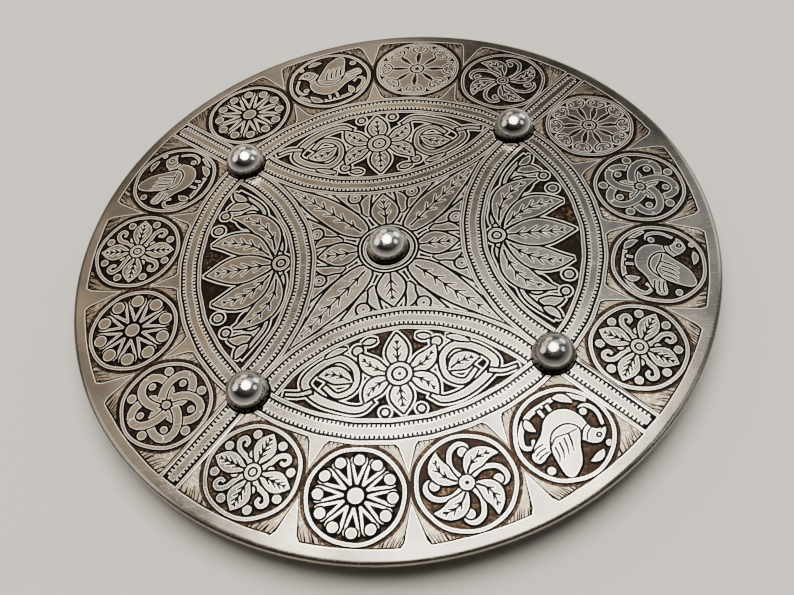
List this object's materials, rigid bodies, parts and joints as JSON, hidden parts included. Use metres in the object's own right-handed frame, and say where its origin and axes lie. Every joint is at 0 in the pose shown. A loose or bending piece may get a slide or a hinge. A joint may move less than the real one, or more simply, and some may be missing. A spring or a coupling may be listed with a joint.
{
  "type": "disc brooch",
  "caption": "Round domed silver brooch with an engraved face of bands, roundels and pointed panels, dome rivets, and a hinged pin with a side hook behind.",
  "frame": {"origin": "on the surface that the brooch lies on, straight below the middle of the disc", "axes": "+Z out of the engraved face; +X and +Y through the middles of the right and upper panels, with the boss rivets on the diagonals between them; the pin runs along the diagonal from -X-Y to +X+Y"},
  "size_m": [0.114, 0.114, 0.0157],
  "materials": {
    "engraved_silver": "worn polished silver, its cuts filled with blackened metal",
    "mirror_silver": "high polish, darkened",
    "forged_silver": "hammered and scraped, dull"
  },
  "bodies": {
    "brooch": {"disc_plate": "engraved_silver", "boss_rivet_centre": "mirror_silver", "boss_rivet_upper_right": "mirror_silver", "boss_rivet_upper_left": "mirror_silver", "boss_rivet_lower_left": "mirror_silver", "boss_rivet_lower_right": "mirror_silver", "rove_upper_left": "forged_silver", "rove_lower_right": "forged_silver", "back_strip": "forged_silver", "hinge_bracket": "forged_silver", "catch_hook": "forged_silver"},
    "axle": {"hinge_axle": "forged_silver"},
    "pin": {"pin": "mirror_silver"}
  },
  "joints": [
    {"name": "pin_lift", "type": "hinge", "parent": "brooch", "child": "axle", "pos_m": [-0.0285, -0.0285, 0.00225], "axis": [-0.7071, 0.7071, 0], "range_deg": [0, 110]},
    {"name": "pin_sway", "type": "hinge", "parent": "axle", "child": "pin", "pos_m": [-0.0285, -0.0285, 0.00225], "axis": [0, 0, 1], "range_deg": [-3, 2]}
  ]
}
